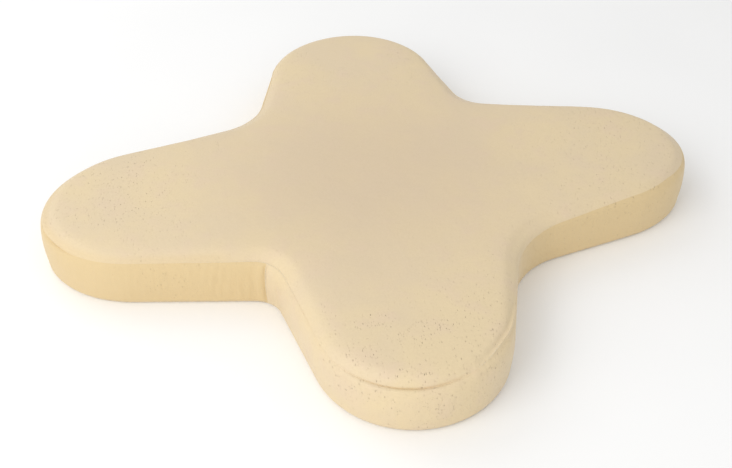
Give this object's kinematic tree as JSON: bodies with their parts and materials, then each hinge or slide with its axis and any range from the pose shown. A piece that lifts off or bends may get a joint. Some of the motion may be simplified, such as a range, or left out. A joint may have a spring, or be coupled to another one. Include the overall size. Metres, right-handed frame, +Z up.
{
  "type": "massage cushion",
  "caption": "Flat four-lobed foam cushion in a sewn cream cover with a boxed side band and a zip round the far lobe.",
  "frame": {"origin": "middle of the underside, on the surface the cushion lies on", "axes": "+X along the longer pair of lobes, to the right-hand lobe; +Y towards the far lobe, which holds the zip; +Z up through the thickness"},
  "size_m": [0.601, 0.5288, 0.052],
  "materials": {
    "foam_firm": "open-cell foam",
    "foam_soft": "memory foam",
    "cover": "soft matte synthetic leather with a fine pitted grain",
    "thread": "sewing thread",
    "zip_tape": "woven tape",
    "zip_teeth": "nylon",
    "zip_metal": "plated"
  },
  "bodies": {
    "cushion": {"foam_support_layer": "foam_firm", "foam_comfort_layer": "foam_soft", "cover_top": "cover", "cover_bottom": "cover", "band_near_right": "cover", "band_left": "cover", "zip_strip_lower": "cover", "zip_strip_upper": "cover", "seam_top": "thread", "seam_bottom": "thread", "seam_left_near": "thread", "seam_zip_right": "thread", "seam_zip_left": "thread", "zip_tape_upper": "zip_tape", "zip_tape_lower": "zip_tape", "zip_teeth_upper": "zip_teeth", "zip_teeth_lower": "zip_teeth", "zip_top_stop_upper": "zip_metal", "zip_top_stop_lower": "zip_metal", "zip_bottom_stop": "zip_metal"},
    "slider": {"zip_slider": "zip_metal"},
    "pull": {"zip_pull": "zip_metal"}
  },
  "joints": [
    {"name": "zip_travel", "type": "hinge", "parent": "cushion", "child": "slider", "pos_m": [0.00628, 0.17795, 0.0225], "axis": [0, 0, 1], "range_deg": [0, 126]},
    {"name": "pull_pivot", "type": "hinge", "parent": "slider", "child": "pull", "pos_m": [0.08614, 0.21759, 0.0225], "axis": [0, 0, -1], "range_deg": [0, 180]}
  ]
}
